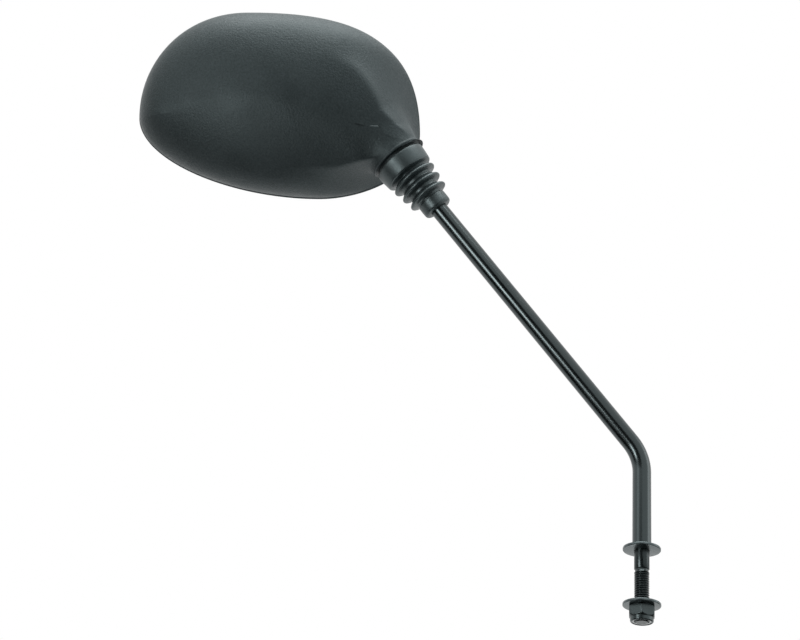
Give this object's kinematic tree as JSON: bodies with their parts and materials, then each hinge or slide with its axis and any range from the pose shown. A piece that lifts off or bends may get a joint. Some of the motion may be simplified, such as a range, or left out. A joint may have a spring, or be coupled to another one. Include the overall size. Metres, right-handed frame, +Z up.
{
  "type": "motorcycle mirror",
  "caption": "Rear-view mirror with a bent round stem, a threaded stud and lock nut, a ribbed rubber boot over a ball joint and a rounded teardrop head",
  "frame": {"origin": "on the stud's axis, at the seat under the upper washer where the bracket lies", "axes": "+Z runs up the stem from the stud, the bend lies in the XZ plane with the head on the -X side, and the glass faces +Y"},
  "size_m": [0.3084, 0.08, 0.3354],
  "materials": {
    "black_steel": "gloss black",
    "dark_steel": "dark plated",
    "bright_steel": "plain",
    "rubber": "satin",
    "shell_plastic": "fine grain",
    "nylon": "plain",
    "foam": "closed cell foam",
    "mirror_glass": "polished"
  },
  "bodies": {
    "stem_side": {"stem": "black_steel", "ball": "bright_steel", "upper_washer": "black_steel"},
    "lower_seat": {"friction_ring": "nylon", "boot": "rubber"},
    "upper_seat": {"pressure_cup": "nylon"},
    "head": {"housing": "shell_plastic", "spring": "bright_steel", "retainer_plate": "bright_steel", "retainer_screws": "bright_steel", "backing_plate": "shell_plastic", "plate_screws": "bright_steel", "foam_pad": "foam", "glass": "mirror_glass", "rim_seal": "rubber"},
    "washer": {"lower_washer": "black_steel"},
    "nut": {"lock_nut": "dark_steel", "nut_insert": "nylon"}
  },
  "joints": [
    {"name": "spin", "type": "hinge", "parent": "stem_side", "child": "lower_seat", "pos_m": [-0.15391, 0, 0.21735], "axis": [-0.6871, 0, 0.7266], "continuous": true},
    {"name": "swing", "type": "hinge", "parent": "lower_seat", "child": "upper_seat", "pos_m": [-0.15391, 0, 0.21735], "axis": [-0.183, -0.4467, 0.8757], "range_deg": [-15, 15], "deforming": ["boot"]},
    {"name": "tilt", "type": "hinge", "parent": "upper_seat", "child": "head", "pos_m": [-0.15391, 0, 0.21735], "axis": [0.9651, -0.2513, 0.0735], "range_deg": [-15, 15], "deforming": ["boot"]},
    {"name": "nut_run", "type": "slide", "parent": "stem_side", "child": "washer", "axis": [0, 0, 1], "range_m": [-0.045, 0.0175]},
    {"name": "nut_turn", "type": "hinge", "parent": "washer", "child": "nut", "pos_m": [0, 0, -0.0304], "axis": [0, 0, 1], "range_deg": [-12960, 5040]}
  ],
  "couplings": [
    {"joint": "nut_run", "follows": "nut_turn", "m_per_rad": 0.00019894}
  ]
}
